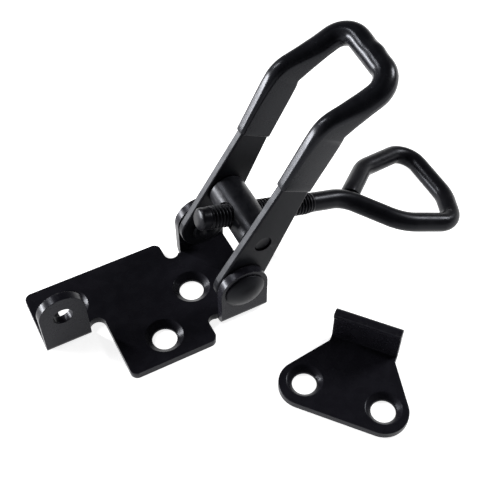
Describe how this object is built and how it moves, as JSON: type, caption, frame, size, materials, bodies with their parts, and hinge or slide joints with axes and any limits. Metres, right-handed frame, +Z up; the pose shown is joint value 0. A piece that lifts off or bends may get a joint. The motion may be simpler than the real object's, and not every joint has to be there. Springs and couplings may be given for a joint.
{
  "type": "toggle latch",
  "caption": "Adjustable toggle latch for a stair gate: wire lever with a sleeved grip on a bent base plate, screw-adjusted hook and a separate keeper plate.",
  "frame": {"origin": "on the underside of the base plate, on its centre line, straight below the lever's pivot", "axes": "+X from the base plate toward the hook's eye, +Y to the far side, +Z up out of the base plate"},
  "size_m": [0.1013, 0.0653, 0.0551],
  "materials": {
    "plate_steel": "satin black e-coat",
    "lever_steel": "satin black e-coat",
    "rivet_steel": "satin black e-coat",
    "nut_steel": "satin black e-coat",
    "hook_steel": "satin black e-coat",
    "keeper_steel": "satin black e-coat",
    "grip_vinyl": "semi-gloss dipped vinyl"
  },
  "bodies": {
    "base": {"base_plate": "plate_steel", "pivot_rivet_near": "rivet_steel", "pivot_rivet_far": "rivet_steel"},
    "lever": {"lever_bar": "lever_steel", "lever_grip": "grip_vinyl"},
    "nut": {"cross_nut": "nut_steel"},
    "hook": {"hook_bolt": "hook_steel"},
    "keeper": {"strike_plate": "keeper_steel"}
  },
  "joints": [
    {"name": "lever_pivot", "type": "hinge", "parent": "base", "child": "lever", "pos_m": [0, 0, 0.0099], "axis": [0, -1, 0], "range_deg": [-5, 119]},
    {"name": "cross_nut_swivel", "type": "hinge", "parent": "lever", "child": "nut", "pos_m": [0.00541, 0, 0.01982], "axis": [0, -1, 0], "range_deg": [-110, 10]},
    {"name": "hook_turn", "type": "hinge", "parent": "nut", "child": "hook", "pos_m": [0.00541, 0, 0.01982], "axis": [0.9483, 0, -0.3173], "range_deg": [-180, 180]},
    {"name": "keeper_place", "type": "slide", "parent": "base", "child": "keeper", "axis": [1, 0, 0], "range_m": [0, 0.015]}
  ],
  "couplings": [
    {"joint": "cross_nut_swivel", "follows": "lever_pivot", "ratio": -0.87}
  ]
}
